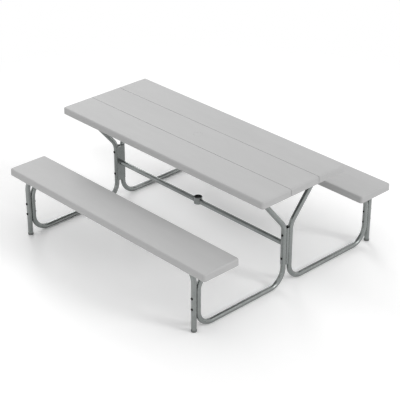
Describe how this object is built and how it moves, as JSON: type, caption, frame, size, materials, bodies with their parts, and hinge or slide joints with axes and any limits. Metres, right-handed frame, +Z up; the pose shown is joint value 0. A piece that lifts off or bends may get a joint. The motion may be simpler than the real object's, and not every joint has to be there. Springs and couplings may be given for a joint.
{
  "type": "picnic table with attached benches",
  "caption": "Plank-topped picnic table on bent steel tube ends, with a plank bench on each long side and a parasol ring on the stretcher under a capped hole.",
  "frame": {"origin": "on the floor under the centre of the top", "axes": "+X along the planks to the right end, +Y across them to the back bench, +Z up"},
  "size_m": [1.774, 1.582, 0.724],
  "materials": {
    "plank_resin": "light grey moulded resin with a very fine grain",
    "frame_paint": "satin grey powder coat",
    "rail_steel": "dull galvanised sheet",
    "black_fastener": "black coated steel",
    "zinc_screw": "bright zinc plated",
    "foot_plastic": "dark grey moulded plastic"
  },
  "bodies": {
    "table": {"batten_screws": "zinc_screw", "bench_leg_back_left": "frame_paint", "bench_leg_back_right": "frame_paint", "bench_leg_front_left": "frame_paint", "bench_leg_front_right": "frame_paint", "column_bolts": "black_fastener", "column_nuts": "black_fastener", "foot_cap_back_left": "foot_plastic", "foot_cap_back_right": "foot_plastic", "foot_cap_front_left": "foot_plastic", "foot_cap_front_right": "foot_plastic", "frame_tube_back_left": "frame_paint", "frame_tube_back_right": "frame_paint", "frame_tube_front_left": "frame_paint", "frame_tube_front_right": "frame_paint", "joint_plate_left": "frame_paint", "joint_plate_right": "frame_paint", "leg_bolts": "black_fastener", "leg_nuts": "black_fastener", "parasol_ring": "frame_paint", "rail_bolts": "black_fastener", "rail_nuts": "black_fastener", "rail_screws": "zinc_screw", "ring_screws": "black_fastener", "ring_spigot_left": "frame_paint", "ring_spigot_right": "frame_paint", "seat_bracket_back_left": "rail_steel", "seat_bracket_back_right": "rail_steel", "seat_bracket_front_left": "rail_steel", "seat_bracket_front_right": "rail_steel", "seat_plank_back": "plank_resin", "seat_plank_front": "plank_resin", "seat_screws": "zinc_screw", "spacer_post_left": "frame_paint", "spacer_post_right": "frame_paint", "stretcher_left": "frame_paint", "stretcher_right": "frame_paint", "top_batten_left": "rail_steel", "top_batten_right": "rail_steel", "top_plank_back": "plank_resin", "top_plank_front": "plank_resin", "top_plank_middle": "plank_resin", "top_rail_left": "rail_steel", "top_rail_right": "rail_steel"},
    "cap": {"parasol_hole_cap": "plank_resin"}
  },
  "joints": [
    {"name": "cap_lift", "type": "slide", "parent": "table", "child": "cap", "axis": [0, 0, 1], "range_m": [0, 0.06]}
  ]
}
